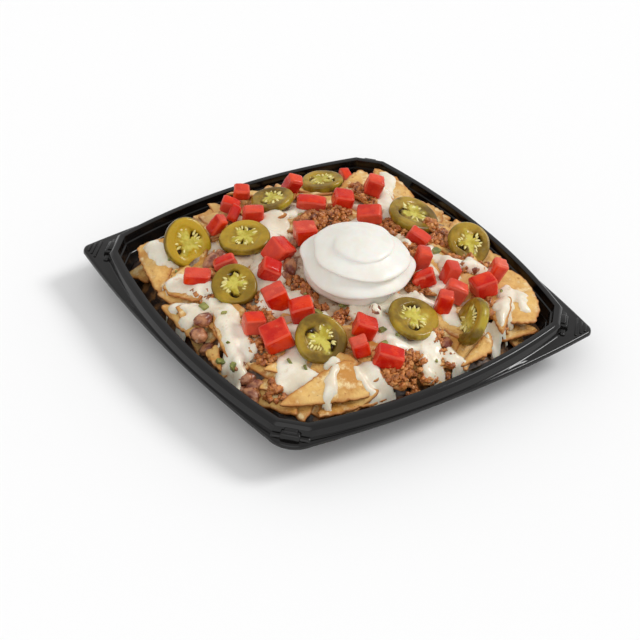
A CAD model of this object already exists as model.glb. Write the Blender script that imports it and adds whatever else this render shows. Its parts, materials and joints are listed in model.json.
# %% [markdown]
# # Loaded nachos in a black takeaway tray
# The part packed from its solids is loaded first: one thin tray, one heap and the toppings that
# can be told apart. Everything added here rides on that one rigid body, called root. The solids
# give the true size and place, and this lesson gives them the look of real food.

import json
import math
import random

import bmesh
import bpy
import numpy as np
from mathutils import Matrix, Vector, noise
from mathutils.bvhtree import BVHTree

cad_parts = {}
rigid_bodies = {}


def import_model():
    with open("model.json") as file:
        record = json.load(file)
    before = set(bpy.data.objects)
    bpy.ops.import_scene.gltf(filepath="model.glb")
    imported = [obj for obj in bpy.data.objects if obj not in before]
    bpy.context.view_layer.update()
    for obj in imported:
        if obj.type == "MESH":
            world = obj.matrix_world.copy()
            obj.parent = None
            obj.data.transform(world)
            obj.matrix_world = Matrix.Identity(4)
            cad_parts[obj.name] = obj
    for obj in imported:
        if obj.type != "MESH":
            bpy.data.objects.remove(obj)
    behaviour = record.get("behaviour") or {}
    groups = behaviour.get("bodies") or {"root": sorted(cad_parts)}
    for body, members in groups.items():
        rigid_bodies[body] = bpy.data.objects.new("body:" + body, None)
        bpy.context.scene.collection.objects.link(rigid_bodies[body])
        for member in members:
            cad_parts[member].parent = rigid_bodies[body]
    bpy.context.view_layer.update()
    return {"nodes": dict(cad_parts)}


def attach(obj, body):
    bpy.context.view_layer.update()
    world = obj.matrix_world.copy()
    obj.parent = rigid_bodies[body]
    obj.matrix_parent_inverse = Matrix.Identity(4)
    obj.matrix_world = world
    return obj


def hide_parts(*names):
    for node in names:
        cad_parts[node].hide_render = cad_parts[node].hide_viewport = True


for leftover in list(bpy.data.objects):
    bpy.data.objects.remove(leftover, do_unlink=True)
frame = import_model()
NODES = frame["nodes"]

# %% [markdown]
# ## Working in millimetres
# A kitchen thing is easiest to think of in millimetres, while Blender works in metres, so one
# factor turns sizes over. The heap is a low dome on a square base. Its height is written once as
# a formula, and every topping, crumb and spoonful of sauce is laid on that formula or dropped on
# to what is already there.

# %% Sizes of the tray and the heap
MM = 0.001
RIM_Z = 28.0            # top of the tray's ridge
SIDE_HALF, SIDE_RUN, SIDE_BOW = 92.0, 80.5, 9.5
SIDE_STEPS, CORNER_STEPS = 40, 14
FLANGE_MID = 103.6      # flange edge at the middle of a side
PLAIN_CORNER, TAB_CORNER = (96.3, 14.5), (100.0, 4.5)   # half size and rounding
HEAP_REACH = 106.0              # where the dome of food comes down to its foot
HEAP_TALL, HEAP_FOOT = 21.0, 9.0    # height of the dome, and its foot below the ridge
FAR_WAY, FAR_RISE = (0.614, 0.789), 3.0     # the way in which the food is piled a little higher


def heap_height(x, y):
    """Height of the heap in millimetres above the table."""
    share = np.minimum(np.hypot(x, y) / HEAP_REACH, 1.0)
    dome = RIM_Z - HEAP_FOOT + HEAP_TALL * (1 - share ** 3.2)
    return dome + FAR_RISE * (FAR_WAY[0] * x + FAR_WAY[1] * y) / SIDE_HALF


print("heap crown at", round(float(heap_height(0, 0)), 1), "mm")

# %% [markdown]
# ## Helpers for shapes
# Two kinds of shape come up again and again. The first is a sheet that follows a formula, such
# as the bowed wall of the tray: a grid primitive is added and its points are then laid where
# the formula says. The second is a crowd of small things, such as crumbs: one is modelled by
# hand and its points are turned, scaled and joined many times into one mesh.


# %% Shape helpers
def pick_none():
    bpy.ops.object.select_all(action="DESELECT")


def pick(piece):
    pick_none()
    piece.select_set(True)
    bpy.context.view_layer.objects.active = piece


def points_of(piece):
    """All points of a mesh as rows of x, y, z in metres."""
    flat = np.empty(len(piece.data.vertices) * 3)
    piece.data.vertices.foreach_get("co", flat)
    return flat.reshape(-1, 3)


def set_points(piece, points):
    piece.data.vertices.foreach_set("co", np.asarray(points, float).ravel())
    piece.data.update()


def laid_grid(name, points, closed=True):
    """A grid primitive laid over points given as rows of columns; a closed one meets itself."""
    rows, columns = points.shape[:2]
    pick_none()
    bpy.ops.mesh.primitive_grid_add(x_subdivisions=columns - 1, y_subdivisions=rows - 1, size=1)
    piece = bpy.context.object
    piece.name = piece.data.name = name
    set_points(piece, points.reshape(-1, 3) * MM)
    if closed:
        bpy.ops.object.mode_set(mode="EDIT")
        bpy.ops.mesh.select_all(action="SELECT")
        bpy.ops.mesh.remove_doubles(threshold=0.00002)
        bpy.ops.mesh.normals_make_consistent(inside=False)
        bpy.ops.object.mode_set(mode="OBJECT")
    return piece


def smooth(piece, angle=None):
    pick(piece)
    if angle is None:
        bpy.ops.object.shade_smooth()
    else:
        bpy.ops.object.shade_smooth_by_angle(angle=math.radians(angle))


def apply_modifiers(piece):
    pick(piece)
    for step in list(piece.modifiers):
        bpy.ops.object.modifier_apply(modifier=step.name)


def mesh_from(name, points, faces):
    """One mesh object from points in millimetres and faces, both as arrays or lists."""
    mesh = bpy.data.meshes.new(name)
    mesh.from_pydata((np.asarray(points) * MM).tolist(), [], [tuple(f) for f in faces])
    mesh.update()
    piece = bpy.data.objects.new(name, mesh)
    bpy.context.scene.collection.objects.link(piece)
    return piece


def crowd(name, models, places, mark=None):
    """Many turned and scaled copies of a few models, joined into one mesh.

    A place is (model number, 3x3 turn-and-scale matrix, position in mm, value of the mark)."""
    shapes = [(points_of(m) / MM, [tuple(p.vertices) for p in m.data.polygons]) for m in models]
    points, faces, marks, count = [], [], [], 0
    for which, turn, at, value in places:
        shape, sides = shapes[which]
        points.append(shape @ np.asarray(turn).T + np.asarray(at))
        faces += [tuple(i + count for i in side) for side in sides]
        marks.append(np.full(len(shape), value))
        count += len(shape)
    piece = mesh_from(name, np.concatenate(points), faces)
    if mark:
        layer = piece.data.attributes.new(mark, "FLOAT", "POINT")
        layer.data.foreach_set("value", np.concatenate(marks))
    return piece


def add_mark(piece, mark, values):
    layer = piece.data.attributes.get(mark) or piece.data.attributes.new(mark, "FLOAT", "POINT")
    layer.data.foreach_set("value", np.asarray(values, float))


def joined(pieces, name):
    """Several pieces joined into the first of them."""
    pick(pieces[0])
    for piece in pieces:
        piece.select_set(True)
    bpy.ops.object.join()
    whole = bpy.context.object
    whole.name = name
    return whole


def drop_models(models):
    for model in models:
        bpy.data.objects.remove(model, do_unlink=True)


def finish_piece(piece, material, slot, *nodes):
    piece.data.materials.clear()
    piece.data.materials.append(material)
    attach(piece, "root")
    if nodes:
        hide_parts(*nodes)
    print(piece.name, len(piece.data.polygons), "faces")


# %% [markdown]
# ## Helpers for finishes
# Every food here is mottled: its colour drifts between two shades over a few millimetres. Wet
# food also has an uneven gloss, because sauce and juice lie on it in patches. Both effects are
# used by many materials, so each is a node group built once, with its own values in each place.


# %% Node helpers and the two shared groups
def node(tree, kind, **settings):
    made = tree.nodes.new(kind)
    for key, value in settings.items():
        setattr(made, key, value)
    return made


def new_group(name, inputs, outputs):
    group = bpy.data.node_groups.new(name, "ShaderNodeTree")
    for label, kind, default in inputs:
        socket = group.interface.new_socket(label, in_out="INPUT", socket_type=kind)
        socket.default_value = default
    for label, kind in outputs:
        group.interface.new_socket(label, in_out="OUTPUT", socket_type=kind)
    return group, group.nodes.new("NodeGroupInput"), group.nodes.new("NodeGroupOutput")


def noise_node(tree, scale, detail=3.0, rough=0.55):
    made = node(tree, "ShaderNodeTexNoise")
    made.inputs["Scale"].default_value = scale
    made.inputs["Detail"].default_value = detail
    made.inputs["Roughness"].default_value = rough
    return made


def make_mottle():
    """Colour that drifts between two shades: patch size, contrast, and how much of the second."""
    group, start, end = new_group(
        "mottle",
        [("Light", "NodeSocketColor", (1, 1, 1, 1)), ("Dark", "NodeSocketColor", (0, 0, 0, 1)),
         ("Scale", "NodeSocketFloat", 200.0), ("Low", "NodeSocketFloat", 0.4),
         ("High", "NodeSocketFloat", 0.6), ("Vector", "NodeSocketVector", (0, 0, 0))],
        [("Color", "NodeSocketColor")],
    )
    spots = noise_node(group, 1.0, 4.0, 0.6)
    spread = node(group, "ShaderNodeMapRange", interpolation_type="SMOOTHSTEP")
    mix = node(group, "ShaderNodeMix", data_type="RGBA")
    join = group.links.new
    join(start.outputs["Scale"], spots.inputs["Scale"])
    join(start.outputs["Vector"], spots.inputs["Vector"])
    join(spots.outputs["Fac"], spread.inputs["Value"])
    join(start.outputs["Low"], spread.inputs["From Min"])
    join(start.outputs["High"], spread.inputs["From Max"])
    join(spread.outputs["Result"], mix.inputs["Factor"])
    join(start.outputs["Light"], mix.inputs["A"])
    join(start.outputs["Dark"], mix.inputs["B"])
    join(mix.outputs["Result"], end.inputs["Color"])
    return group


def make_soft_gloss():
    """Roughness that wanders between a wet and a dry value."""
    group, start, end = new_group(
        "soft_gloss",
        [("Wet", "NodeSocketFloat", 0.15), ("Dry", "NodeSocketFloat", 0.45),
         ("Scale", "NodeSocketFloat", 150.0), ("Vector", "NodeSocketVector", (0, 0, 0))],
        [("Roughness", "NodeSocketFloat")],
    )
    film = noise_node(group, 1.0, 2.0)
    spread = node(group, "ShaderNodeMapRange")
    spread.inputs["From Min"].default_value = 0.35
    spread.inputs["From Max"].default_value = 0.65
    join = group.links.new
    join(start.outputs["Scale"], film.inputs["Scale"])
    join(start.outputs["Vector"], film.inputs["Vector"])
    join(film.outputs["Fac"], spread.inputs["Value"])
    join(start.outputs["Wet"], spread.inputs["To Min"])
    join(start.outputs["Dry"], spread.inputs["To Max"])
    join(spread.outputs["Result"], end.inputs["Roughness"])
    return group


MOTTLE, SOFT_GLOSS = make_mottle(), make_soft_gloss()


def linear(red, green, blue):
    """A screen colour of 0 to 255 as the linear values that a shader takes."""
    return tuple(((c / 255 + 0.055) / 1.055) ** 2.4 if c > 10 else c / 255 / 12.92
                 for c in (red, green, blue)) + (1.0,)


class Finish:
    """A material being built: its tree, its shader and a few short ways to add nodes."""

    def __init__(self, name, roughness=0.5, **sockets):
        self.material = bpy.data.materials.new(name)
        self.material.use_nodes = True
        self.tree = self.material.node_tree
        self.shader = self.tree.nodes["Principled BSDF"]
        self.shader.inputs["Roughness"].default_value = roughness
        for label, value in sockets.items():
            self.shader.inputs[label.replace("_", " ")].default_value = value
        self.place = self.tree.nodes.new("ShaderNodeTexCoord").outputs["Object"]

    def join(self, a, b):
        self.tree.links.new(a, b)

    def mottle(self, light, dark, scale, low=0.4, high=0.6):
        made = node(self.tree, "ShaderNodeGroup", node_tree=MOTTLE)
        for label, value in (("Light", light), ("Dark", dark)):
            if isinstance(value, tuple):
                made.inputs[label].default_value = value
            else:
                self.join(value, made.inputs[label])
        for label, value in (("Scale", scale), ("Low", low), ("High", high)):
            made.inputs[label].default_value = value
        self.join(self.place, made.inputs["Vector"])
        return made.outputs["Color"]

    def gloss(self, wet, dry, scale=150.0):
        made = node(self.tree, "ShaderNodeGroup", node_tree=SOFT_GLOSS)
        for label, value in (("Wet", wet), ("Dry", dry), ("Scale", scale)):
            made.inputs[label].default_value = value
        self.join(self.place, made.inputs["Vector"])
        self.join(made.outputs["Roughness"], self.shader.inputs["Roughness"])

    def attribute(self, name):
        return node(self.tree, "ShaderNodeAttribute", attribute_name=name).outputs["Fac"]

    def mix(self, factor, a, b):
        made = node(self.tree, "ShaderNodeMix", data_type="RGBA")
        self.join(factor, made.inputs["Factor"])
        for label, value in (("A", a), ("B", b)):
            if isinstance(value, tuple):
                made.inputs[label].default_value = value
            else:
                self.join(value, made.inputs[label])
        return made.outputs["Result"]

    def ramp(self, value, low, high):
        made = node(self.tree, "ShaderNodeMapRange", interpolation_type="SMOOTHSTEP")
        self.join(value, made.inputs["Value"])
        made.inputs["From Min"].default_value = low
        made.inputs["From Max"].default_value = high
        return made.outputs["Result"]

    def noise(self, scale, detail=3.0, rough=0.55):
        made = noise_node(self.tree, scale, detail, rough)
        self.join(self.place, made.inputs["Vector"])
        return made.outputs["Fac"]

    def bump(self, height, strength, distance):
        made = node(self.tree, "ShaderNodeBump")
        made.inputs["Strength"].default_value = strength
        made.inputs["Distance"].default_value = distance * MM
        self.join(height, made.inputs["Height"])
        self.join(made.outputs["Normal"], self.shader.inputs["Normal"])

    def colour(self, value):
        if isinstance(value, tuple):
            self.shader.inputs["Base Color"].default_value = value
        else:
            self.join(value, self.shader.inputs["Base Color"])


print("groups:", MOTTLE.name, SOFT_GLOSS.name)

# %% [markdown]
# ## The tray
# A takeaway tray is one sheet of plastic drawn over a mould, so every line on it runs all the way
# round: a turned-down lip, a flat flange, a raised ridge that the lid clips over, a small step and
# then the wall of the well. It could be built by extruding an outline again and again. Here the
# outline is a formula and each row of the sheet is that outline moved in or out, which keeps the
# long bowed sides perfectly fair, so that highlights run along them without a kink.


# %% Outlines of the ridge and the flange
def turned(point_rows, quarter):
    x, y = point_rows[:, 0], point_rows[:, 1]
    return np.stack(((x, y), (-y, x), (-x, -y), (y, -x))[quarter], axis=1)


def ridge_outline(offset):
    """The bowed square with cut corners, moved outward by the offset."""
    radius = (SIDE_RUN ** 2 + SIDE_BOW ** 2) / (2 * SIDE_BOW)
    centre = SIDE_HALF + SIDE_BOW - radius
    radius += offset
    line = SIDE_HALF + SIDE_RUN + offset * math.sqrt(2) - centre
    reach = math.asin((line - math.sqrt(2 * radius ** 2 - line ** 2)) / 2 / radius)
    angle = reach * np.linspace(-1, 1, SIDE_STEPS)
    side = np.stack((centre + radius * np.cos(angle), radius * np.sin(angle)), axis=1)
    rows = []
    for quarter in range(4):
        here, following = turned(side, quarter), turned(side, (quarter + 1) % 4)
        rows.append(here)
        share = np.linspace(0, 1, CORNER_STEPS + 2)[1:-1, None]
        rows.append(here[-1] * (1 - share) + following[0] * share)
    return np.concatenate(rows)


def flange_outline(grow=0.0):
    """The flange edge: two plain round corners and two drawn out into tabs."""
    corners = []
    for quarter, (half, rounding) in enumerate((PLAIN_CORNER, TAB_CORNER) * 2):
        angle = np.radians(np.linspace(0, 90, CORNER_STEPS + 2))
        arc = half - rounding + (rounding + grow) * np.stack((np.cos(angle), np.sin(angle)), axis=1)
        corners.append(turned(arc, quarter))
    rows = []
    for quarter in range(4):
        start, end = corners[quarter - 1][-1], corners[quarter][0]
        out = turned(np.array([[1.0, 0.0]]), quarter)[0]
        bow = FLANGE_MID + grow - (start + end) @ out / 2
        share = np.linspace(0, 1, SIDE_STEPS)[:, None]
        rows.append(start * (1 - share) + end * share + out * bow * (1 - (2 * share - 1) ** 2))
        rows.append(corners[quarter][1:-1])
    return np.concatenate(rows)


def ring(outline, height):
    loop = np.concatenate((outline, outline[:1]))
    return np.column_stack((loop, np.full(len(loop), RIM_Z + height)))


print("points round the tray:", len(ridge_outline(0)))

# %% [markdown]
# The section of the sheet is listed once, as steps outward from the ridge and up from its top. Each
# step becomes one row of points round the tray. The floor is closed in edit mode, and the Solidify
# modifier then gives the sheet its thickness downward, as a real formed sheet has.

# %% Form the sheet
LIP = ((1.1, -8.7), (1.0, -7.6), (0.7, -6.9), (0.1, -6.5), (-0.8, -6.4))
RIDGE = (
    (3.7, -6.0), (3.0, -5.8), (2.6, -5.5), (2.4, -5.0), (1.7, -1.9), (1.5, -1.5), (1.25, -1.2),
    (0.3, -0.25), (0.0, -0.05), (-0.4, 0.0), (-2.4, 0.0), (-2.75, -0.12), (-2.95, -0.5),
    (-3.3, -4.0), (-3.5, -4.45), (-3.9, -4.6), (-4.3, -4.7), (-4.5, -5.1), (-5.2, -10.0),
    (-5.45, -10.6), (-5.9, -10.8), (-6.2, -11.2),
)
WELL = (
    (-6.7, -13.0), (-7.5, -16.0), (-9.5, -21.0), (-11.2, -23.4), (-13.6, -25.4), (-17.0, -26.9),
    (-21.0, -27.4), (-50.0, -27.4), (-85.0, -27.4),
)
WELL_TOP = -6.0         # the well keeps the shape that the outline has at this offset
FLANGE_ROWS = 6
SHEET_THICK = 0.6


def well_scale(offset):
    """Size of the well at an offset, as a share of its size at the top."""
    return 1 + (offset - WELL_TOP) / (SIDE_HALF + SIDE_BOW)


edge, foot = flange_outline(-0.8), ridge_outline(RIDGE[0][0])
rows = [ring(flange_outline(grow), z) for grow, z in LIP]
for k in range(1, FLANGE_ROWS):
    share = k / FLANGE_ROWS
    height = LIP[-1][1] + (RIDGE[0][1] - LIP[-1][1]) * share ** 2
    rows.append(ring(edge * (1 - share) + foot * share, height))
rows += [ring(ridge_outline(offset), z) for offset, z in RIDGE]
inner = ridge_outline(WELL_TOP)
for offset, z in WELL:
    rows.append(ring(inner * well_scale(offset), z))
tray = laid_grid("tray_sheet", np.array(rows))
bpy.ops.object.mode_set(mode="EDIT")
bpy.ops.mesh.select_all(action="DESELECT")
bpy.ops.object.mode_set(mode="OBJECT")
floor_z = (RIM_Z + WELL[-1][1]) * MM
for point in tray.data.vertices:
    near_middle = abs(point.co.x) < 0.03 and abs(point.co.y) < 0.03
    point.select = near_middle and abs(point.co.z - floor_z) < 1e-5
bpy.ops.object.mode_set(mode="EDIT")
bpy.ops.mesh.edge_face_add()
bpy.ops.mesh.select_all(action="SELECT")
bpy.ops.mesh.normals_make_consistent(inside=False)
bpy.ops.object.mode_set(mode="OBJECT")
if sum(side.normal.z for side in tray.data.polygons) < 0:
    tray.data.flip_normals()
sheet = tray.modifiers.new("sheet", "SOLIDIFY")
sheet.thickness, sheet.offset = SHEET_THICK * MM, -1.0
apply_modifiers(tray)
print("tray points:", len(tray.data.vertices))

# %% [markdown]
# The lid's latches press on four small stepped lugs, one on each cut corner, and the two tabs have
# three short ribs for the thumb. Each is a cube, scaled to its size, with its edges bevelled and
# its far end pulled down a little, then turned to lie along its corner.


# %% Lugs and ribs
# distance out of the chamfer (from, to), width, low, top, drop of the far end, softness of edges
LUG_BLOCKS = (
    (1.0, 6.2, 10.0, -6.9, -2.6, 0.6, 0.7),
    (1.0, 4.6, 7.0, -3.4, -1.6, 0.3, 0.5),
    (2.0, 5.2, 20.0, -6.9, -4.6, 0.5, 0.8),
)
RIBS = ((9.8, 15.0), (12.3, 10.0), (14.5, 6.0))     # distance out of the chamfer, and length
RIB_WIDE = 1.5
RIB_SECTION = (-6.8, -5.7, 0.1, 0.35)               # low, top, drop, softness
TAB_QUARTERS = (1, 3)


def corner_block(quarter, out_from, out_to, wide, low, top, drop, soft):
    """A soft-edged block lying on a corner, from one distance out of the chamfer to another."""
    pick_none()
    middle = (SIDE_HALF + SIDE_RUN) / 2 * math.sqrt(2)
    angle = math.radians(45 + 90 * quarter)
    bpy.ops.mesh.primitive_cube_add(size=1)
    block = bpy.context.object
    length = out_to - out_from
    block.scale = Vector((length, wide, top - low)) * MM
    bpy.ops.object.transform_apply(location=False, rotation=False, scale=True)
    for point in block.data.vertices:
        if point.co.x > 0 and point.co.z > 0:
            point.co.z -= drop * MM
            point.co.x -= 0.15 * length * MM
    bevel = block.modifiers.new("soft", "BEVEL")
    bevel.width, bevel.segments = soft * MM, 3
    apply_modifiers(block)
    centre = Vector((middle + (out_from + out_to) / 2, 0, RIM_Z + (low + top) / 2)) * MM
    block.data.transform(Matrix.Rotation(angle, 4, "Z") @ Matrix.Translation(centre))
    return block


blocks = []
for quarter in range(4):
    for sizes in LUG_BLOCKS:
        blocks.append(corner_block(quarter, *sizes))
    if quarter in TAB_QUARTERS:
        for out_from, wide in RIBS:
            blocks.append(corner_block(quarter, out_from, out_from + RIB_WIDE, wide, *RIB_SECTION))
tray = joined([tray, *blocks], "tray_sheet")
smooth(tray, 38)
print("blocks joined:", len(blocks))

# %% [markdown]
# The plastic is dyed black all through and polished by the mould. Its base colour is nearly black,
# its gloss is high with a faint wander in it, and a very weak ripple keeps reflections from looking
# like glass.

# %% Black plastic
plastic = Finish("black_plastic", 0.16, IOR=1.5, Specular_IOR_Level=0.4)
plastic.colour(linear(9, 7, 6))
plastic.gloss(0.1, 0.2, 60.0)
plastic.bump(plastic.noise(45.0, 1.0), 0.06, 0.6)
finish_piece(tray, plastic.material, "tray", "tray")

# %% [markdown]
# ## The core of the heap
# Most of the heap is hidden. A core a little lower than the real outline fills it, uneven like
# broken chips under sauce, and the real chips, beef, beans and sauce are laid over it. Deep gaps
# between them show this toasted brown.

# %% Core
CORE_DROP, EDGE_DROP = 2.4, 7.0     # how far the core lies under the heap, inside and at its edge
CORE_SIDE = ((-7.6, -17.0), (-10.4, -21.0), (-14.0, -25.0), (-21.0, -26.7))
CORE_RINGS = 60
core_rows = []
for offset, z in CORE_SIDE:
    core_rows.insert(0, ring(inner * well_scale(offset) * 0.995, z + 0.3))
core_rows.insert(0, core_rows[0] * (0.0, 0.0, 1.0))
rim_row = core_rows[-1][:, :2]
for scale in np.linspace(1.0, 0.0, CORE_RINGS):
    x, y = rim_row[:, 0] * scale, rim_row[:, 1] * scale
    rough = np.array([
        2.2 * noise.noise((px / 13, py / 13, 0)) + 1.1 * noise.noise((px / 5, py / 5, 3.0))
        + 0.4 * noise.noise((px / 1.8, py / 1.8, 7.0)) for px, py in zip(x, y)
    ])
    sunk = CORE_DROP + EDGE_DROP * max(0.0, (scale - 0.74) / 0.26) ** 2
    z = heap_height(x, y) - sunk + rough * min(1.0, (1.0 - scale) * 12)
    core_rows.append(np.column_stack((x, y, z)))
core = laid_grid("heap_core", np.array(core_rows))
smooth(core)
spots = points_of(core) / MM
add_mark(core, "sauced", np.clip((84 - np.hypot(spots[:, 0], spots[:, 1])) / 16, 0, 1))
print("core points:", len(spots))

# %% [markdown]
# The middle of the core was reached by the sauce, so a mark turns it pale there. Its edge is bare
# toasted crumb, and that is the colour in the gaps along the wall.

# %% Core finish
crust = Finish("buried_food", 0.5)
edge_food = crust.mottle(linear(150, 104, 58), linear(46, 28, 18), 120.0, 0.36, 0.56)
sauced = crust.mottle(
    crust.mottle(linear(222, 208, 184), linear(200, 172, 140), 90.0, 0.4, 0.62),
    linear(150, 100, 66), 120.0, 0.56, 0.66)
crust.colour(crust.mix(crust.attribute("sauced"), edge_food, sauced))
crust.gloss(0.2, 0.5, 200.0)
crust.bump(crust.noise(500.0, 4.0, 0.6), 0.3, 0.7)
finish_piece(core, crust.material, "heap", "heap")

# %% [markdown]
# ## Tortilla chips
# A tortilla chip is a corner of flat maize bread that blisters and buckles as it fries. The solids
# already give each chip its corners, so a copy of each is smoothed by subdivision and then pushed
# about by two formulas: a slow one that buckles the sheet and a quick one that raises blisters.
# The rim is marked point by point, because a chip browns first at its edge.


# %% Fry a chip
def plane_of(points):
    """Middle of some points and their three main directions, widest first."""
    middle = points.mean(axis=0)
    _, _, axes = np.linalg.svd(points - middle, full_matrices=False)
    if axes[2][2] < 0:
        axes[2] = -axes[2]
    return middle, axes


def hull_distance(flat):
    """Distance of each 2-D point from the outline of the whole set."""
    order = sorted(map(tuple, np.round(flat, 4)))

    def half(run):
        chain = []
        for p in run:
            while len(chain) > 1 and ((chain[-1][0] - chain[-2][0]) * (p[1] - chain[-2][1])
                                      - (chain[-1][1] - chain[-2][1]) * (p[0] - chain[-2][0])) <= 0:
                chain.pop()
            chain.append(p)
        return chain[:-1]

    hull = np.array(half(order) + half(order[::-1]))
    best = np.full(len(flat), 1e9)
    for a, b in zip(hull, np.roll(hull, -1, axis=0)):
        run = b - a
        share = np.clip(((flat - a) @ run) / max(run @ run, 1e-9), 0, 1)
        best = np.minimum(best, np.linalg.norm(flat - a - share[:, None] * run, axis=1))
    return best


def fry(chip, seed, buckle=0.9, blister=1.5):
    """Buckle and blister a smooth chip in place and mark its rim and its blisters."""
    points = points_of(chip) / MM
    middle, axes = plane_of(points)
    flat = (points - middle) @ axes[:2].T
    rim = np.exp(-hull_distance(flat) / 1.6)
    shift = Vector((seed * 3.7, seed * 1.3, 0))
    lift, marks, ragged = [], [], []
    for x, y in flat:
        here = Vector((x, y, 0)) + shift
        wave = buckle * noise.noise(here / 14.0)
        wave = wave + 0.5 * noise.noise(here / 4.2) + 0.2 * noise.noise(here / 1.9)
        cell = noise.voronoi(here / 4.6)[0][0]
        bubble = max(0.0, 0.42 - cell) * 2.4 * (noise.noise(here / 11.0 + Vector((5, 5, 5))) + 0.35)
        bubble = max(0.0, bubble)
        lift.append(wave + blister * bubble)
        marks.append(min(1.0, bubble * 1.6))
        ragged.append(noise.noise(here / 2.2) * 1.1 + 0.5 * noise.noise(here / 6.0))
    points += np.outer(lift, axes[2])
    inward = -flat / np.maximum(np.linalg.norm(flat, axis=1, keepdims=True), 1e-6)
    points += (inward * (np.array(ragged) * rim)[:, None]) @ axes[:2]
    set_points(chip, points * MM)
    add_mark(chip, "rim", rim)
    add_mark(chip, "blister", marks)


def copy_of(name):
    """A copy of a solid with its loose triangles merged."""
    piece = NODES[name].copy()
    piece.data = NODES[name].data.copy()
    piece.parent = None
    for key in list(piece.keys()):
        del piece[key]
    piece.name = name + "_copy"
    bpy.context.scene.collection.objects.link(piece)
    pick(piece)
    bpy.ops.object.mode_set(mode="EDIT")
    bpy.ops.mesh.select_all(action="SELECT")
    bpy.ops.mesh.remove_doubles(threshold=0.00001)
    bpy.ops.object.mode_set(mode="OBJECT")
    return piece


def nodes_named(kind):
    return sorted(name for name in NODES if name.startswith(kind + "_"))


def subdivided(piece, levels, simple=False):
    step = piece.modifiers.new("smooth", "SUBSURF")
    step.subdivision_type = "SIMPLE" if simple else "CATMULL_CLARK"
    step.levels = step.render_levels = levels
    apply_modifiers(piece)


BLISTERED_CHIP = "chip_08"      # the big front chip has the tallest blisters
chip_parts = []
for number, name in enumerate(nodes_named("chip")):
    chip = copy_of(name)
    subdivided(chip, 1, simple=True)
    subdivided(chip, 2)
    fry(chip, number + 1, blister=3.0 if name == BLISTERED_CHIP else 1.5)
    chip_parts.append(chip)
print("chips fried:", len(chip_parts))

# %% [markdown]
# Broken chips fill the heap between the big ones. Four are modelled from a three-sided circle:
# subdivided, rounded, given thickness and fried like the rest. Copies lie round the heap, each
# tilted a little from its slope, and none may reach past the wall of the tray.


# %% Broken chips
FRAGMENTS, FRAGMENT_SIZES, FRAGMENT_THICK = 122, (20, 17, 23, 14), 1.5
WALL_ROOM = -6.8        # broken chips stay this far inside the ridge's outline


def broken_chip(number, size):
    pick_none()
    bpy.ops.mesh.primitive_circle_add(vertices=3, radius=size * MM, fill_type="NGON")
    chip = bpy.context.object
    stretch = 1.0 + 0.25 * math.sin(number * 2.1)
    for k, point in enumerate(chip.data.vertices):
        point.co.x *= stretch
        point.co.y += 0.2 * size * MM * math.sin(number + 2 * k)
    bpy.ops.object.mode_set(mode="EDIT")
    bpy.ops.mesh.select_all(action="SELECT")
    bpy.ops.mesh.poke()
    bpy.ops.mesh.subdivide(number_cuts=5)
    bpy.ops.mesh.vertices_smooth(factor=0.5, repeat=2)
    bpy.ops.object.mode_set(mode="OBJECT")
    wall = chip.modifiers.new("thickness", "SOLIDIFY")
    wall.thickness, wall.offset = FRAGMENT_THICK * MM, 0.0
    apply_modifiers(chip)
    subdivided(chip, 1)
    fry(chip, 40 + number, buckle=2.2)
    return chip


def turn_matrix(lean, toward, spin, scale=1.0):
    """Rotation that spins about up and then leans that up axis toward a compass angle."""
    axis = Vector((-math.sin(toward), math.cos(toward), 0))
    lean_turn = Matrix.Rotation(lean, 3, axis)
    return np.array(lean_turn @ Matrix.Rotation(spin, 3, "Z")) * scale


def slope_at(x, y):
    """Lean and compass angle of the heap's own surface."""
    dx = float(heap_height(x + 1, y) - heap_height(x - 1, y)) / 2
    dy = float(heap_height(x, y + 1) - heap_height(x, y - 1)) / 2
    return math.atan(math.hypot(dx, dy)), math.atan2(-dy, -dx)


def inside_tray(x, y, offset):
    """True where a point is within the ridge outline moved by the offset."""
    x, y = abs(x), abs(y)
    radius = (SIDE_RUN ** 2 + SIDE_BOW ** 2) / (2 * SIDE_BOW)
    centre = SIDE_HALF + SIDE_BOW - radius
    return (math.hypot(x - centre, y) < radius + offset
            and math.hypot(x, y - centre) < radius + offset
            and x + y < SIDE_HALF + SIDE_RUN + offset * math.sqrt(2))


chance = random.Random(7)
fragments = [broken_chip(k, size) for k, size in enumerate(FRAGMENT_SIZES)]
fragment_places = []
while len(fragment_places) < FRAGMENTS:
    x, y = chance.uniform(-96, 96), chance.uniform(-96, 96)
    reach = math.hypot(x, y)
    if reach < 35 or (reach < 72 and chance.random() < 0.6):
        continue
    lean, toward = slope_at(x, y)
    turn = turn_matrix(lean * 0.8 + chance.uniform(-0.12, 0.3), toward + chance.uniform(-0.6, 0.6),
                       chance.uniform(0, 6.3), chance.uniform(0.75, 1.2))
    which = chance.randrange(4)
    corners = (points_of(fragments[which]) / MM) @ turn.T + (x, y, 0)
    if all(inside_tray(px, py, WALL_ROOM) for px, py in corners[::7, :2]):
        z = float(heap_height(x, y)) - 2.6 + chance.uniform(-1.2, 1.0)
        fragment_places.append((which, turn, (x, y, z), 0))
filler = crowd("chips_broken", fragments, fragment_places)
for mark in ("rim", "blister"):
    values = [np.array([v.value for v in fragments[place[0]].data.attributes[mark].data])
              for place in fragment_places]
    add_mark(filler, mark, np.concatenate(values))
drop_models(fragments)
smooth(filler)
chips = joined(chip_parts, "chips_whole")
smooth(chips)
print("broken chips:", len(fragment_places))

# %% [markdown]
# Fried maize is golden with paler and browner drifts, darker at the rim and on the blisters, with
# small burnt specks. It is dry, so its gloss is low, with a fine grain under the oil.

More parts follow.
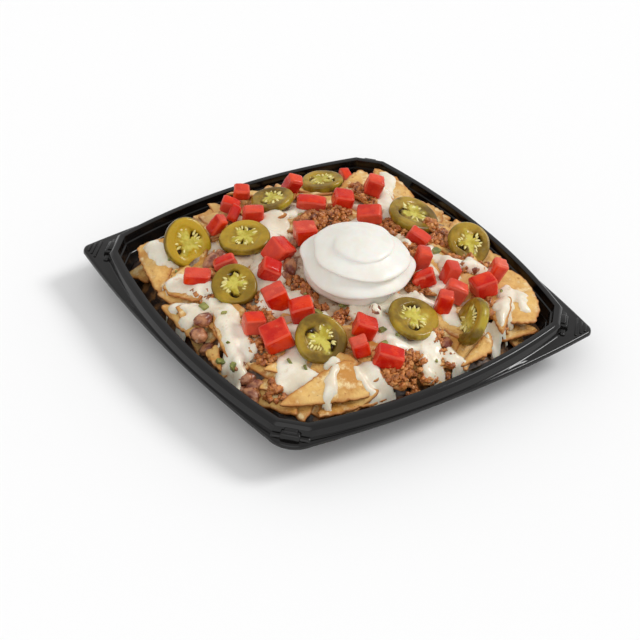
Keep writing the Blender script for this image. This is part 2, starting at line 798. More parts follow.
# %% Chip finish
fried = Finish("fried_maize", 0.5)
gold = fried.mottle(linear(230, 186, 108), linear(198, 136, 54), 75.0, 0.38, 0.62)
gold = fried.mottle(gold, linear(240, 214, 158), 150.0, 0.5, 0.68)
gold = fried.mottle(gold, linear(182, 116, 48), 260.0, 0.58, 0.74)
gold = fried.mix(fried.ramp(fried.attribute("rim"), 0.25, 1.1), gold, linear(176, 104, 40))
gold = fried.mix(fried.ramp(fried.attribute("blister"), 0.35, 1.3), gold, linear(196, 128, 58))
gold = fried.mottle(gold, linear(110, 60, 24), 480.0, 0.69, 0.74)
fried.colour(gold)
fried.gloss(0.38, 0.6, 180.0)
fried.bump(fried.noise(520.0, 5.0, 0.7), 0.75, 0.9)
finish_piece(chips, fried.material, "chip", *nodes_named("chip"))
finish_piece(filler, fried.material, "chip")

# %% [markdown]
# ## Tomato
# Each die of tomato has one face of skin, which is smooth, deep red and a little swollen,
# and cut faces of paler wet flesh. The solids are copied, their bevels kept as the soft cut edges,
# and the faces subdivided so that the flesh can be made uneven. A mark tells skin from flesh.


# %% Dice
SKIN_WAYS = ((0.1, -0.1, 1.0), (-0.9, -0.3, 0.3), (-0.2, -0.95, 0.25))
EXTRA_DICE = (("tomato_04", -23, 66, 0.7), ("tomato_14", 58, 72, 1.9))  # copied from, place, turn


def cut_die(name, number):
    die = copy_of(name)
    pick(die)
    bpy.ops.object.mode_set(mode="EDIT")
    bpy.ops.mesh.select_all(action="SELECT")
    bpy.ops.mesh.dissolve_limited(angle_limit=math.radians(4))
    bpy.ops.mesh.quads_convert_to_tris()
    bpy.ops.mesh.tris_convert_to_quads()
    bpy.ops.mesh.subdivide(number_cuts=5)
    bpy.ops.mesh.vertices_smooth(factor=0.5, repeat=1)
    bpy.ops.object.mode_set(mode="OBJECT")
    points = points_of(die) / MM
    middle = points.mean(axis=0)
    chooser = random.Random(number * 13 + 5)
    skin_way = Vector(SKIN_WAYS[chooser.choice((0, 0, 1, 2))])      # most often the top
    normals = np.array([v.normal for v in die.data.vertices])
    facing = normals @ np.array(skin_way.normalized())
    skin = np.clip((facing - 0.62) / 0.18, 0, 1)
    push = np.array([
        0.45 * noise.noise(Vector(p) / 4.5) + 0.22 * noise.noise(Vector(p) / 1.7) for p in points
    ])
    points += normals * (push * (1 - 0.8 * skin) - 0.15 * (1 - skin))[:, None]
    reach = np.linalg.norm(points - middle, axis=1)
    points += normals * (skin * np.clip(1.0 - reach / 9.0, 0, 1) * 1.2)[:, None]
    set_points(die, points * MM)
    add_mark(die, "skin", skin)
    add_mark(die, "pale", np.full(len(points), chooser.random()))
    sides = sorted(die.data.polygons, key=lambda f: -f.area)[:60]
    ways = np.array([side.normal for side in sides])
    add_mark(die, "cut_edge", np.clip((0.985 - (normals @ ways.T).max(axis=1)) / 0.06, 0, 1))
    return die


dice = [cut_die(name, number) for number, name in enumerate(nodes_named("tomato"))]
for source, x, y, spin in EXTRA_DICE:
    die = cut_die(source, int(spin * 10))
    points = points_of(die) / MM
    points = (points - points.mean(axis=0)) @ turn_matrix(0.3, 1.0, spin, 0.85).T
    set_points(die, (points + (x, y, float(heap_height(x, y)) + 2.5)) * MM)
    dice.append(die)
tomato = joined(dice, "tomato_dice")
smooth(tomato, 50)
print("dice:", len(dice))

# %% [markdown]
# Skin is a clear deep red. Cut flesh is paler and streaked, and palest of all along the cut edges,
# where light passes through. The marks of the last cell mix these colours, and a little subsurface
# scattering makes the flesh look moist.

# %% Tomato finish
flesh = Finish("tomato_flesh", 0.2, Subsurface_Weight=0.1, Subsurface_Scale=0.0015, IOR=1.4,
               Specular_IOR_Level=0.35)
cut = flesh.mottle(linear(212, 52, 28), linear(190, 26, 14), 130.0, 0.4, 0.62)
cut = flesh.mottle(cut, linear(224, 104, 72), 170.0, 0.6, 0.76)
peel = flesh.mottle(linear(222, 56, 12), linear(196, 22, 8), 80.0, 0.4, 0.62)
cut = flesh.mix(flesh.ramp(flesh.attribute("pale"), 0.35, 1.9), cut, linear(236, 128, 100))
inside_out = flesh.mix(flesh.attribute("skin"), cut, peel)
edge_glow = flesh.ramp(flesh.attribute("cut_edge"), 0.5, 2.4)
flesh.colour(flesh.mix(edge_glow, inside_out, linear(236, 140, 110)))
flesh.gloss(0.1, 0.32, 220.0)
flesh.bump(flesh.noise(500.0, 2.0), 0.12, 0.4)
finish_piece(tomato, flesh.material, "tomato", *nodes_named("tomato"))

# %% [markdown]
# ## Pickled pepper slices
# A slice of green pepper is a ring of thick flesh round a few open chambers. In the middle is the
# paler core that carried the seeds, joined to the ring by thin walls, and flat pale seeds sit round
# it like teeth. The ring starts as a cylinder whose ends are inset again and again. Each end is then
# sunk by a formula of distance and angle, which gives the chambers, the walls and the core.

# %% One slice
SLICE_INSETS = 26
SEEDS_PER_SLICE, SEED_REACH = 22, 1.6


def pepper_relief(share, angle, seed):
    """How far the face sinks, in thirds of the thickness, and how much it is core and hollow."""
    lobes = 3 + seed % 2
    wander = 0.09 * math.sin(lobes * angle + seed) + 0.04 * math.sin(5 * angle + 2 * seed)
    ring_in = 0.66 + wander * 0.6
    core_out = 0.38 + wander * 1.4 + 0.05 * math.sin(9 * angle + seed)
    core_out = core_out + 0.035 * math.sin(16 * angle + 2 * seed)
    wall = max(0.0, math.cos(lobes * angle / 2 + seed * 1.7)) ** 14
    chamber = min(1.0, max(0.0, (ring_in - share) / 0.09))
    chamber = chamber * min(1.0, max(0.0, (share - core_out) / 0.08))
    deep = 0.45 + 1.25 * max(0.0, math.sin(angle * 2 + seed * 2.3)) ** 2
    core_mark = min(1.0, max(0.0, (core_out + 0.05 - share) / 0.1))
    sink = chamber * (1 - 0.75 * wall) * deep + 0.25 * core_mark
    return sink, max(core_mark, chamber * wall * 0.8), min(1.0, max(0.0, sink - 0.65) * 2.2)


def pepper_slice(seed, radius, thick):
    """A ring of pepper lying flat at the origin, in metres."""
    pick_none()
    bpy.ops.mesh.primitive_cylinder_add(vertices=64, radius=radius * MM, depth=thick * MM)
    piece = bpy.context.object
    bpy.ops.object.mode_set(mode="EDIT")
    bpy.ops.mesh.select_all(action="DESELECT")
    work = bmesh.from_edit_mesh(piece.data)
    for side in work.faces:
        side.select_set(abs(side.normal.z) > 0.9)
    bmesh.update_edit_mesh(piece.data)
    for _ in range(SLICE_INSETS):
        bpy.ops.mesh.inset(thickness=radius * MM / (SLICE_INSETS + 1.2))
    bpy.ops.mesh.merge(type="COLLAPSE")
    bpy.ops.object.mode_set(mode="OBJECT")
    points = points_of(piece) / MM
    core_marks, skin_marks, hollow_marks = [], [], []
    for row in points:
        share = min(1.0, math.hypot(row[0], row[1]) / radius)
        angle = math.atan2(row[1], row[0])
        sink, core_mark, hollow = pepper_relief(share, angle, seed)
        up = 1 if row[2] > 0 else -1
        edge_round = max(0.0, share - 0.86) / 0.14
        row[2] = up * (thick / 2 - sink * thick / 3 - 0.5 * thick * (edge_round ** 3) * 0.55
                       + 0.12 * noise.noise((row[0] / 2.5, row[1] / 2.5, seed)))
        swell = 1 + 0.035 * math.sin(2 * angle + seed) + 0.025 * math.sin(3 * angle + seed * 2)
        row[0] *= swell
        row[1] *= swell
        core_marks.append(core_mark)
        hollow_marks.append(hollow)
        skin_marks.append(min(1.0, max(0.0, (share - 0.9) / 0.1)))
    set_points(piece, points * MM)
    add_mark(piece, "core", core_marks)
    add_mark(piece, "hollow", hollow_marks)
    add_mark(piece, "skin", skin_marks)
    return piece


def seed_model():
    """One flat, pale pepper seed, as a squashed sphere pulled to a blunt point."""
    pick_none()
    bpy.ops.mesh.primitive_ico_sphere_add(subdivisions=2, radius=SEED_REACH * MM)
    grain = bpy.context.object
    for point in grain.data.vertices:
        point.co.z *= 0.42
        point.co.y *= 0.48 * (1 - 0.3 * point.co.x / (SEED_REACH * MM))
        point.co.x *= 1.15
    return grain


def fit_of(name):
    """Where a slice lies: middle, turn, half width and thickness, read off its solid."""
    points = points_of(NODES[name]) / MM
    middle, axes = plane_of(np.unique(np.round(points, 3), axis=0))
    turn = np.column_stack((axes[0], np.cross(axes[2], axes[0]), axes[2]))
    local = (points - middle) @ turn
    low, high = local.min(axis=0), local.max(axis=0)
    half_width = (high[0] - low[0] + high[1] - low[1]) / 4
    return middle + turn @ ((low + high) / 2), turn, half_width, high[2] - low[2]


print("insets on each end of a slice:", SLICE_INSETS)

# %% [markdown]
# Each solid slice tells where it lies, how it leans and how wide it is, so the detailed one is laid
# in its place. The vinegar turns some slices more yellow than others, and a tone for each says how
# much. The seeds are copies of one, laid round the core and left out where a chamber has lost its.

# %% All the slices and their seeds
PEPPER_TONES = (0.6, 0.35, 0.0, 0.1, 0.0, 0.05, 0.0, 0.1, 0.0, 0.2)
slices, seed_places = [], []
grain = seed_model()
for number, name in enumerate(nodes_named("jalapeno")):
    centre, turn, radius, thick = fit_of(name)
    piece = pepper_slice(number + 2, radius * 0.97, thick)
    spin = np.array(Matrix.Rotation(number * 1.9, 3, "Z"))
    whole = turn @ spin
    set_points(piece, (points_of(piece) @ whole.T) + centre * MM)
    add_mark(piece, "tone", np.full(len(piece.data.vertices), PEPPER_TONES[number]))
    slices.append(piece)
    picker = random.Random(number)
    for k in range(SEEDS_PER_SLICE):
        angle = k * 2 * math.pi / SEEDS_PER_SLICE + picker.uniform(-0.15, 0.15)
        if math.sin(angle * 2 + number) < -0.55:
            continue
        out = radius * picker.uniform(0.34, 0.5)
        at = (out * math.cos(angle), out * math.sin(angle), thick / 2 - picker.uniform(0.4, 1.1))
        lay = np.array(Matrix.Rotation(angle + picker.uniform(-0.4, 0.4), 3, "Z")
                       @ Matrix.Rotation(picker.uniform(-0.5, 0.3), 3, "Y")
                       @ Matrix.Rotation(picker.uniform(-0.6, 0.6), 3, "X"))
        turned_seed = whole @ lay * picker.uniform(0.75, 1.05)
        seed_places.append((0, turned_seed, whole @ np.array(at) + centre, 0))
seeds = crowd("pepper_seeds", [grain], seed_places)
drop_models([grain])
peppers = joined(slices, "pepper_slices")
smooth(peppers, 50)
smooth(seeds)
print("pepper seeds:", len(seed_places))

# %% [markdown]
# Pickled pepper is olive, with a darker glossy rind, a yellow-green core and brown shade deep in
# the chambers. Each is a colour mixed in by its mark, so the pattern follows the cut shape.

# %% Pepper finish
pickle = Finish("pickled_pepper", 0.2, Subsurface_Weight=0.15, Subsurface_Scale=0.002, IOR=1.42,
                Specular_IOR_Level=0.38)
meat = pickle.mottle(linear(168, 136, 42), linear(104, 80, 24), 60.0, 0.36, 0.64)
pith = pickle.mottle(linear(204, 192, 88), linear(170, 152, 44), 160.0, 0.4, 0.62)
meat = pickle.mix(pickle.attribute("tone"), meat, linear(208, 170, 34))
rind = pickle.mottle(linear(168, 146, 44), linear(108, 84, 18), 60.0, 0.4, 0.6)
body = pickle.mix(pickle.attribute("core"), meat, pith)
body = pickle.mix(pickle.attribute("hollow"), body, linear(58, 38, 12))
pickle.colour(pickle.mix(pickle.ramp(pickle.attribute("skin"), 0.2, 1.0), body, rind))
pickle.gloss(0.1, 0.3, 140.0)
pickle.bump(pickle.noise(420.0, 2.0), 0.15, 0.4)
finish_piece(peppers, pickle.material, "jalapeno", *nodes_named("jalapeno"))
kernel = Finish("pepper_seed", 0.3)
kernel.colour(kernel.mottle(linear(232, 222, 150), linear(206, 190, 108), 300.0))
kernel.gloss(0.18, 0.4, 300.0)
finish_piece(seeds, kernel.material, "jalapeno")

# %% [markdown]
# ## Sour cream
# A spoonful of sour cream is swirled as it lands, so its side is one long fold that winds up to a
# small cap. It could be turned by hand with the spin tool, but a real swirl is uneven. So a closed
# sheet is laid by a formula: the dome gives the radius at each height, and the cosine of a winding
# phase gives the fold. The phase is bent by a power, so each fold rises faster than it falls.

# %% Swirl
CREAM_AT, CREAM_RADIUS, CREAM_HEIGHT, CREAM_FOOT = (2.0, -15.0, 37.4), 29.6, 27.0, 0.82
CREAM_TURNS, CREAM_START = 3.4, 0.62    # times that the fold winds round, and where it starts
CREAM_ROWS, CREAM_COLUMNS = 150, 201
FOLD_DEPTH, FOLD_SAG = 4.4, 1.5
EAR_ANGLE, EAR_LEVEL = math.radians(335), 0.34      # where the spoon pulled a point out
CURL_ANGLE, CURL_LEVEL = math.radians(128), 0.5     # where the fold starts with a round curl


def bump_at(angle, level, at_angle, at_level, wide, tall):
    gap = math.atan2(math.sin(angle - at_angle), math.cos(angle - at_angle))
    return math.exp(-(gap / wide) ** 2 - ((level - at_level) / tall) ** 2)


cream_rows = []
for level in np.linspace(0, 1, CREAM_ROWS):
    row = []
    for angle in np.linspace(0, 2 * math.pi, CREAM_COLUMNS):
        turn = angle if angle < 2 * math.pi - 1e-6 else 0.0
        drift = Vector((math.cos(turn) * 1.2, math.sin(turn) * 1.2, level * 3.0))
        wander = 0.16 * noise.noise(drift)
        phase = CREAM_TURNS * level + turn / (2 * math.pi) + CREAM_START + wander
        ridge = 0.5 - 0.5 * math.cos(2 * math.pi * (phase % 1.0) ** 0.78)
        depth = FOLD_DEPTH * min(1.0, 0.2 + level * 1.7) * (1 - level ** 6)
        dome = CREAM_RADIUS * (1 - level ** 2.7) ** 0.55 * min(1.0, CREAM_FOOT + level * 0.8)
        here = Vector((math.cos(turn), math.sin(turn), level * 2.0))
        wide = dome + depth * (ridge - 0.7) * min(1.0, dome / 9)
        wide += min(1.0, dome / 12) * (1.1 * noise.noise(here * 1.3) + 0.35 * noise.noise(here * 4.0))
        wide += 3.6 * bump_at(turn, level, EAR_ANGLE, EAR_LEVEL, 0.3, 0.1)
        wide += 3.0 * bump_at(turn, level, CURL_ANGLE, CURL_LEVEL, 0.4, 0.12)
        z = CREAM_AT[2] + CREAM_HEIGHT * level - FOLD_SAG * ridge * (1 - level) + 1.2
        row.append((CREAM_AT[0] + wide * math.cos(turn), CREAM_AT[1] + wide * math.sin(turn), z))
    cream_rows.append(row)
cream_rows.insert(0, [(CREAM_AT[0], CREAM_AT[1], CREAM_AT[2] - 0.5)] * CREAM_COLUMNS)
swirl = laid_grid("cream_swirl", np.array(cream_rows))
smooth(swirl)
print("cream points:", len(swirl.data.vertices))

# %% [markdown]
# Cream is nearly white and a little warm, with a soft sheen. Light goes a short way into it, so it
# has the strongest subsurface weight of all the food here.

# %% Cream finish
cream = Finish("sour_cream", 0.34, Subsurface_Weight=0.2, Subsurface_Scale=0.003, IOR=1.4)
cream.colour(cream.mottle(linear(233, 231, 223), linear(229, 225, 214), 60.0))
cream.gloss(0.3, 0.42, 80.0)
cream.bump(cream.noise(160.0, 2.0), 0.06, 0.5)
finish_piece(swirl, cream.material, "sour_cream", "sour_cream")

# %% [markdown]
# ## Where things fall
# Crumbs and sauce must rest on whatever is under them. A search tree of the core and the chips
# answers the question: looking down at this place, what is the highest surface?


# %% Ground under the crumbs
def tree_of(*pieces):
    points, faces, count = [], [], 0
    for piece in pieces:
        points.append(points_of(piece) / MM)
        faces += [tuple(i + count for i in side.vertices) for side in piece.data.polygons]
        count += len(piece.data.vertices)
    return BVHTree.FromPolygons(np.concatenate(points).tolist(), faces)


def top_of(tree, x, y, missing=None):
    hit = tree.ray_cast(Vector((x, y, 120.0)), Vector((0, 0, -1)))
    return hit[0].z if hit[0] else missing


ground = tree_of(core, chips, filler)
print("ground at the middle:", round(top_of(ground, 0, 0), 1), "mm")

# %% [markdown]
# ## Ground beef
# Browned beef breaks into knobbly crumbs of a few millimetres that stick together in heaps. Eight
# crumbs, five large and three fine, are balls pushed in and out with two sizes of noise. The heaps
# are listed by place and half width, and crumbs are thrown at each one: the nearer to its middle,
# the higher they pile.

# %% Crumbs
BEEF_HEAPS = (      # x, y, half width along x and along y
    (18, 36, 14, 11), (52, 46, 5, 11), (47, 31, 4, 4), (47, 9, 8, 9), (42, -12, 7, 8), (67, -7, 9, 7),
    (60, -30, 9, 7), (75, -38, 7, 5), (25, -37, 5, 11), (10, -40, 4, 7), (-14, -81, 13, 13), (12, -78, 5, 12),
    (-6, -93, 5, 4), (54, -67, 3, 13), (-70, 19, 6, 11), (-52, -7, 8, 8), (-56, -17, 4, 7), (-69, -31, 4, 12),
    (-30, 64, 4, 4), (-23, 37, 5, 4), (-28, -8, 4, 12), (-57, 27, 3, 4), (-30, -25, 4, 4), (-21, -38, 8, 4),
    (-76, -58, 5, 6), (-26, -80, 3, 7), (-8, 14, 3, 7), (4, 36, 4, 7), (67, 4, 4, 4), (-13, -68, 4, 5),
    (-86, -49, 3, 5), (-16, -76, 11, 9),
)
# crumbs to a square millimetre, least and greatest size, and the models used
BIG_CRUMBS = (0.175, 2.8, 4.8, range(5))
FINE_CRUMBS = (0.27, 1.4, 2.6, range(5, 8))
NEAR_LINE = -16         # heaps nearer than this line go into the first of the two pieces


def crumb_model(number, detail):
    """A knobbly ball about one millimetre across."""
    pick_none()
    bpy.ops.mesh.primitive_ico_sphere_add(subdivisions=detail, radius=1.0)
    crumb = bpy.context.object
    shift = Vector((number * 5.1, number * 2.3, 1.0))
    for point in crumb.data.vertices:
        way = point.co.normalized()
        out = 1 + 0.55 * noise.noise(way * 1.5 + shift) + 0.35 * noise.noise(way * 3.4 + shift)
        point.co = Vector((way.x, way.y * 0.8, way.z * 0.75)) * out / 2 * MM
    return crumb


crumbs = [crumb_model(k, 3) for k in BIG_CRUMBS[-1]] + [crumb_model(k, 2) for k in FINE_CRUMBS[-1]]
thrower = random.Random(11)


def any_turn(chooser, size):
    """A random rotation times a size."""
    axis = Vector((chooser.gauss(0, 1), chooser.gauss(0, 1), chooser.gauss(0, 1))).normalized()
    return np.array(Matrix.Rotation(chooser.uniform(0, 6.3), 3, axis)) * size


def throw_beef(heaps, per_area, low_size, high_size, models):
    places = []
    for cx, cy, rx, ry in heaps:
        for _ in range(int(math.pi * rx * ry * per_area)):
            angle, reach = thrower.uniform(0, 6.3), math.sqrt(thrower.uniform(0, 1.3))
            x, y = cx + rx * reach * math.cos(angle), cy + ry * reach * math.sin(angle)
            base = top_of(ground, x, y)
            if base is None or not inside_tray(x, y, -8.5):
                continue
            pile = min(5.0, 0.5 * min(rx, ry)) * max(0.0, 1 - reach ** 2)
            size = thrower.uniform(low_size, high_size)
            z = min(base, float(heap_height(x, y)) + 3.0)
            z = z + pile * thrower.uniform(0.5, 1.0) + size * 0.2
            places.append((thrower.choice(models), any_turn(thrower, size), (x, y, z), thrower.random()))
    return places


near_heaps = [heap for heap in BEEF_HEAPS
              if heap[0] * FAR_WAY[0] + heap[1] * FAR_WAY[1] < NEAR_LINE]
far_heaps = [heap for heap in BEEF_HEAPS if heap not in near_heaps]
beef_pieces = []
for name, heaps in (("beef_near", near_heaps), ("beef_far", far_heaps)):
    places = throw_beef(heaps, *BIG_CRUMBS) + throw_beef(heaps, *FINE_CRUMBS)
    beef_pieces.append(crowd(name, crumbs, places, "shade"))
    smooth(beef_pieces[-1])
    print(name, len(places), "crumbs")
drop_models(crumbs)

# %% [markdown]
# Beef browns unevenly, so light and dark patches are only a few millimetres wide, and each crumb
# carries a shade of its own that makes some of them paler. Fat keeps its gloss high in places.

# %% Beef finish
browned = Finish("browned_beef", 0.42)
meat = browned.mottle(linear(206, 132, 68), linear(158, 86, 38), 320.0, 0.4, 0.6)
meat = browned.mottle(meat, linear(100, 46, 22), 230.0, 0.52, 0.7)
pale_crumb = browned.ramp(browned.attribute("shade"), 0.5, 1.3)
browned.colour(browned.mix(pale_crumb, meat, linear(220, 158, 92)))
browned.gloss(0.2, 0.45, 400.0)
browned.bump(browned.noise(1500.0, 3.0, 0.6), 0.35, 0.3)
for piece in beef_pieces:
    finish_piece(piece, browned.material, "heap")

# %% [markdown]
# ## Beans
# The beans are soft and partly mashed, so each is a plump oval with a dented skin. Each is listed
# with its place and half width, and sits half sunk in what is under it.

# %% Beans
BEANS = (       # x, y and half width
    (-83, 1, 4.3), (-89, -4, 4.9), (-87, -10, 3.8), (-83, -32, 4.3), (-83, -39, 4.3), (-88, -43, 4.9),
    (-86, -50, 4.3), (-81, -46, 3.8), (-25, 8, 4.3), (-31, 5, 3.3), (-56, 36, 4.9), (-49, 37, 3.8),
    (-14, 56, 3.3), (-7, -45, 3.3), (-11, -45, 2.7), (17, -76, 3.8), (65, -37, 3.3), (-10, 25, 3.3),
    (20, 61, 3.3), (52, -15, 2.2),
)


def bean_model(number):
    pick_none()
    bpy.ops.mesh.primitive_ico_sphere_add(subdivisions=4, radius=1.0)
    bean = bpy.context.object
    shift = Vector((number * 3.3, 7.0, number * 1.9))
    for point in bean.data.vertices:
        way = point.co.normalized()
        out = 1 + 0.16 * noise.noise(way * 1.4 + shift) + 0.07 * noise.noise(way * 4.0 + shift)
        bend = 0.14 * (way.x ** 2)
        point.co = Vector((way.x * 1.3, way.y * 0.9 + bend, way.z * 0.8)) * out * MM
    return bean


BEAN_KINDS = 4
bean_models = [bean_model(k) for k in range(BEAN_KINDS)]
bean_places = []
for k, (x, y, half) in enumerate(BEANS):
    spot = top_of(ground, x, y, RIM_Z - 12)
    spot = min(spot, float(heap_height(x, y)) + 2.0)
    lay = Matrix.Rotation(k * 1.3, 3, "Z") @ Matrix.Rotation(0.4 * math.sin(k), 3, "Y")
    lay = np.array(lay) * half
    bean_places.append((k % BEAN_KINDS, lay, (x, y, spot + half * 0.35), 0))
beans = crowd("beans", bean_models, bean_places)
drop_models(bean_models)
smooth(beans)
print("beans:", len(bean_places))

# %% [markdown]
# Stewed skins are red-brown and glossy, with pale patches where sauce clings to them.

# %% Bean finish
stewed = Finish("stewed_bean", 0.3)
skin = stewed.mottle(linear(182, 124, 86), linear(116, 58, 42), 180.0, 0.38, 0.62)
stewed.colour(stewed.mottle(skin, linear(220, 188, 162), 150.0, 0.58, 0.7))
stewed.gloss(0.16, 0.4, 260.0)
stewed.bump(stewed.noise(420.0, 3.0), 0.25, 0.5)
finish_piece(beans, stewed.material, "heap")

# %% [markdown]
# ## Cheese sauce
# The sauce was poured in strokes, each written as a start, an end and a half width. On a fine grid,
# every point asks how deep inside the nearest stroke it is, with the distance bent by noise so that
# edges wander. That depth gives the thickness. The sauce then rides on a softened copy of the
# ground, because thick sauce bridges small gaps. An underside closes it into a solid.

# %% Sauce
SAUCE_STROKES = (       # start x, y, end x, y, half width
    (-80, 37, -70, 20, 5), (-74, 9, -90, 9, 4), (-71, 2, -79, -23, 5.5), (-72, -17, -76, -29, 4),
    (-79, -23, -92, -40, 5), (-34, 18, -48, -10, 7), (-42, 0, -35, -18, 5.5), (-38, -19, -34, -38, 5),
    (-57, -46, -67, -55, 6.5), (-66, -53, -60, -60, 5), (11, 52, -3, 54, 4), (-3, 54, -22, 31, 6.5),
    (-21, 35, -31, 26, 5), (89, 83, 80, 59, 4), (78, 58, 56, 32, 4), (41, 38, 39, 31, 3), (53, 23, 54, 7, 4),
    (39, 0, 42, -7, 4), (53, -16, 57, -30, 4), (41, -24, 35, -41, 5.5), (40, -43, 29, -65, 4),
    (29, -64, 30, -68, 3), (-9, -52, -10, -65, 7), (-10, -64, -2, -72, 4), (5, -75, 0, -89, 5.5),
    (15, -84, 15, -92, 4), (46, -75, 44, -85, 4), (73, -58, 52, -79, 4), (77, -62, 73, -73, 3),
    (-44, -61, -58, -77, 3), (-33, -74, -31, -89, 5.5), (-70, 76, -71, 57, 5), (64, -35, 73, -42, 4),
    (18, -46, 26, -51, 3), (52, -28, 51, -45, 3), (-15, -35, -9, -48, 3), (-10, -38, 20, -46, 4.5),
    (-42, 14, -30, 22, 4), (20, 20, 34, 24, 3), (-88, 22, -80, 14, 3.5), (-48, -30, -40, -44, 4),
)
SAUCE_STEP = 0.8
SAUCE_THICK, SAUCE_SPREAD = 2.5, 1.35   # greatest thickness, and how far past its stroke it runs
axis = np.arange(-98.0, 98.01, SAUCE_STEP)
gx, gy = np.meshgrid(axis, axis, indexing="ij")


def sway(x, y, layer):
    """How far the sauce wanders at a place, in millimetres; each layer gives another pattern."""
    broad = noise.noise((x / 7, y / 7, layer)) * 3.0
    return broad + noise.noise((x / 2.6, y / 2.6, layer + 3.0)) * 1.2


warp = np.array([[(sway(x, y, 1.0), sway(x, y, 11.0)) for y in axis] for x in axis])
wx, wy = gx + warp[..., 0], gy + warp[..., 1]
inside = np.zeros_like(gx)
for x0, y0, x1, y1, half in SAUCE_STROKES:
    run = np.array((x1 - x0, y1 - y0), float)
    share = np.clip(((wx - x0) * run[0] + (wy - y0) * run[1]) / (run @ run), 0, 1)
    gap = np.hypot(wx - x0 - share * run[0], wy - y0 - share * run[1])
    depth_in = np.clip(1 - gap / (half * SAUCE_SPREAD), 0, 1)
    inside = np.maximum(inside, depth_in * min(1.0, half / 4.5))
thick = SAUCE_THICK * np.sqrt(np.clip(inside * 1.6, 0, 1))
print("share of the grid under sauce:", round(float((inside > 0.02).mean()), 3))

# %% [markdown]
# Next the sauce is laid down. Rays dropped on everything so far give the ground, which is softened
# twice: much for the broad bridges, and a little so that nothing pokes through. Cells at the border
# are pressed down, so that the sauce ends in a rounded edge.

# %% Lay the sauce
laden = tree_of(core, chips, filler, beans, *beef_pieces)
NO_FOOD = RIM_Z - 16.0     # height taken where a ray meets nothing
base = np.array([[top_of(laden, x, y, NO_FOOD) for y in axis] for x in axis])


def soften(field, times):
    for _ in range(times):
        pad = np.pad(field, 1, mode="edge")
        field = (pad[:-2, 1:-1] + pad[2:, 1:-1] + pad[1:-1, :-2] + pad[1:-1, 2:] + 4 * field) / 8
    return field


ride_on = np.maximum(soften(base, 14), soften(base, 3) - 0.6)
upper = soften(ride_on + thick - 0.5, 2)
lower = np.minimum(ride_on, base) - 1.2
covered = (inside > 0.02) & np.array([[inside_tray(x, y, -7.2) for y in axis] for x in axis])
surrounded = (np.roll(covered, 1, 0) & np.roll(covered, -1, 0)
              & np.roll(covered, 1, 1) & np.roll(covered, -1, 1))
rim_cells = covered & ~surrounded
upper = np.where(rim_cells, ride_on - 0.5, upper)


def close_sheet(name, upper, lower, cells):
    """Top and bottom of a height field over the kept cells, joined round their border."""
    faces, used = [], {}
    points = []

    def corner(i, j, side):
        key = (i, j, side)
        if key not in used:
            used[key] = len(points)
            points.append((gx[i, j], gy[i, j], (upper if side else lower)[i, j]))
        return used[key]

    keep = cells[:-1, :-1] & cells[1:, :-1] & cells[1:, 1:] & cells[:-1, 1:]
    for i, j in zip(*np.nonzero(keep)):
        ring_of = ((i, j), (i + 1, j), (i + 1, j + 1), (i, j + 1))
        faces.append([corner(*c, 1) for c in ring_of])
        faces.append([corner(*c, 0) for c in ring_of[::-1]])
        beside = ((i, j - 1), (i + 1, j), (i, j + 1), (i - 1, j))
        for k, (bi, bj) in enumerate(beside):
            if not (0 <= bi < keep.shape[0] and 0 <= bj < keep.shape[1] and keep[bi, bj]):
                a, b = ring_of[k], ring_of[(k + 1) % 4]
                faces.append([corner(*a, 0), corner(*b, 0), corner(*b, 1), corner(*a, 1)])
    return mesh_from(name, points, faces)


sauce = close_sheet("cheese_sauce", upper, lower, covered)
pick(sauce)
step = sauce.modifiers.new("flow", "SMOOTH")
step.factor, step.iterations = 0.5, 3
apply_modifiers(sauce)
smooth(sauce)
print("sauce points:", len(sauce.data.vertices))

# %% [markdown]
# Cheese sauce is creamy, with tan patches where it is thin or has taken up fat, and a wet gloss.

# %% Sauce finish
queso = Finish("cheese_sauce", 0.22, Subsurface_Weight=0.15, Subsurface_Scale=0.003, IOR=1.42)
pour = queso.mottle(linear(238, 230, 212), linear(226, 214, 190), 70.0, 0.4, 0.62)
queso.colour(queso.mottle(pour, linear(210, 184, 150), 130.0, 0.6, 0.76))
queso.gloss(0.12, 0.34, 160.0)
queso.bump(queso.noise(260.0, 3.0), 0.18, 0.6)
finish_piece(sauce, queso.material, "heap")

# %% [markdown]
# Small cubes of green chilli float in the sauce. One cube with bevelled edges is pushed out of
# true, and copies are pressed half into the sauce or the food.

# %% Chilli cubes
CHILLI = (      # x and y
    (-70, 56), (-78, 9), (-74, -4), (-82, -21), (-89, -25), (-87, -34), (-37, 7), (-30, -14), (-33, -30),
    (-16, -66), (4, -85), (-58, -56), (54, -18), (-63, -49), (68, -59), (-11, -57), (-61, -20), (-7, -65),
    (6, 44), (-16, -30), (36, -54), (-71, 48),
)
pick_none()
bpy.ops.mesh.primitive_cube_add(size=1)
cube = bpy.context.object
for k, point in enumerate(cube.data.vertices):
    point.co.x += 0.12 * math.sin(k * 2.7)
    point.co.y += 0.12 * math.cos(k * 1.9)
cube.data.transform(Matrix.Scale(MM, 4))
bevel = cube.modifiers.new("soft", "BEVEL")
bevel.width, bevel.segments = 0.16 * MM, 3
apply_modifiers(cube)
topped = tree_of(core, chips, filler, beans, sauce, *beef_pieces)
chilli_places = []
for k, (x, y) in enumerate(CHILLI):
    size = 2.6 + 1.2 * math.sin(k * 1.7)
    lay = any_turn(random.Random(k), 1.0) @ np.diag((size * 1.3, size, size * 0.6))
    chilli_places.append((0, lay, (x, y, top_of(topped, x, y, RIM_Z - 9) + 0.25), 0))
chilli = crowd("green_chilli", [cube], chilli_places)
drop_models([cube])
smooth(chilli, 45)
print("chilli cubes:", len(CHILLI))
green = Finish("green_chilli", 0.25, Subsurface_Weight=0.15, Subsurface_Scale=0.002)
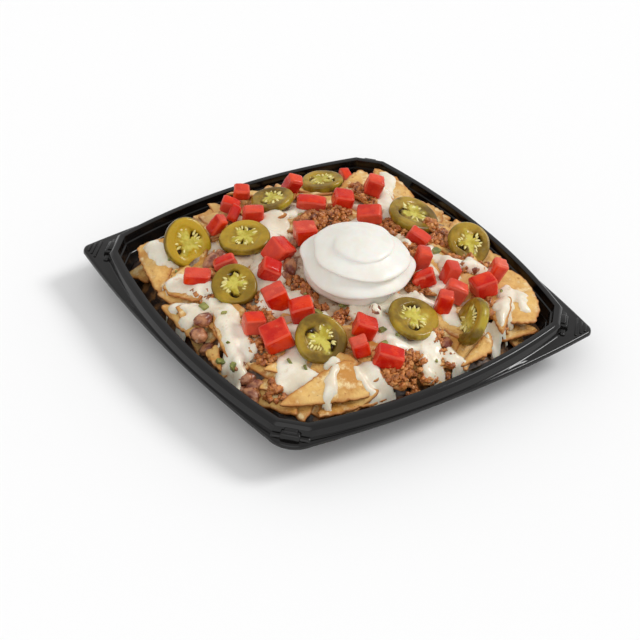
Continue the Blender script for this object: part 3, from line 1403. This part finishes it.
green.colour(green.mottle(linear(150, 150, 80), linear(104, 112, 50), 200.0, 0.4, 0.62))
green.gloss(0.15, 0.35, 200.0)
finish_piece(chilli, green.material, "heap")

# %% [markdown]
# ## Floor
# The dish stands on a plain pale table. It has no gloss, so it shows nothing but the soft shadow.

# %% Floor
pick_none()
bpy.ops.mesh.primitive_plane_add(size=6.0)
floor = bpy.context.object
floor.name = "floor"
table = Finish("white_table", 0.9)
table.colour((0.9, 0.9, 0.9, 1.0))
table.shader.inputs["Specular IOR Level"].default_value = 0.0
floor.data.materials.append(table.material)
print("table:", [round(v, 2) for v in floor.dimensions], "m")

# %% [markdown]
# ## Light
# A broad lamp high on the right and a little behind makes the cream bright and lets the near faces
# fall a little darker. A weaker and broader one stands in front, and a white sky fills the shadows.
# Both lamps are suns, which light every part of the dish alike.


# %% Light
KEY_POWER, FILL_POWER, SKY_POWER = 1.3, 0.6, 0.7


def lamp(name, power, direction, width):
    """A sun that shines from a direction, with its width in degrees."""
    data = bpy.data.lights.new(name, "SUN")
    data.energy = power
    data.angle = math.radians(width)
    made = bpy.data.objects.new(name, data)
    made.location = Vector(direction).normalized() * 1.2
    made.rotation_euler = Vector(direction).to_track_quat("Z", "Y").to_euler()
    bpy.context.scene.collection.objects.link(made)
    print(name, power)


lamp("key", KEY_POWER, (0.8, -0.3, 0.8), 20)
lamp("fill", FILL_POWER, (-0.75, -0.65, 0.8), 60)
world = bpy.data.worlds.new("studio")
bpy.context.scene.world = world
world.use_nodes = True
sky = world.node_tree.nodes["Background"]
sky.inputs["Color"].default_value = (1, 1, 1, 1)
sky.inputs["Strength"].default_value = SKY_POWER

# %% [markdown]
# ## Camera
# The camera looks down on one corner of the tray through a long lens, so the square looks like a
# diamond with little perspective. It is placed by an azimuth, an elevation and a distance, and then
# rolled a few degrees.

# %% Camera
AZIMUTH, ELEVATION, ROLL = math.radians(-37.856), math.radians(38.188), math.radians(-4.923)
DISTANCE, ASIDE, ABOVE, LENS = 945.03, 6.078, 23.318, 98.03
back = Vector((
    math.sin(AZIMUTH) * math.cos(ELEVATION), -math.cos(AZIMUTH) * math.cos(ELEVATION),
    math.sin(ELEVATION),
))
right = Vector((math.cos(AZIMUTH), math.sin(AZIMUTH), 0))
up = back.cross(right)
eye = back * DISTANCE - right * ASIDE - up * ABOVE + Vector((0, 0, RIM_Z))
cam_right = right * math.cos(ROLL) - up * math.sin(ROLL)
cam_up = right * math.sin(ROLL) + up * math.cos(ROLL)
view = bpy.data.cameras.new("camera")
view.lens, view.sensor_width = LENS, 36.0
camera = bpy.data.objects.new("camera", view)
turn = Matrix((cam_right, cam_up, back)).transposed().to_4x4()
camera.matrix_world = Matrix.Translation(eye * MM) @ turn
bpy.context.scene.collection.objects.link(camera)
bpy.context.scene.camera = camera
bpy.context.scene.view_settings.view_transform = "Standard"
print("camera at", [round(v, 3) for v in camera.matrix_world.translation], "m")
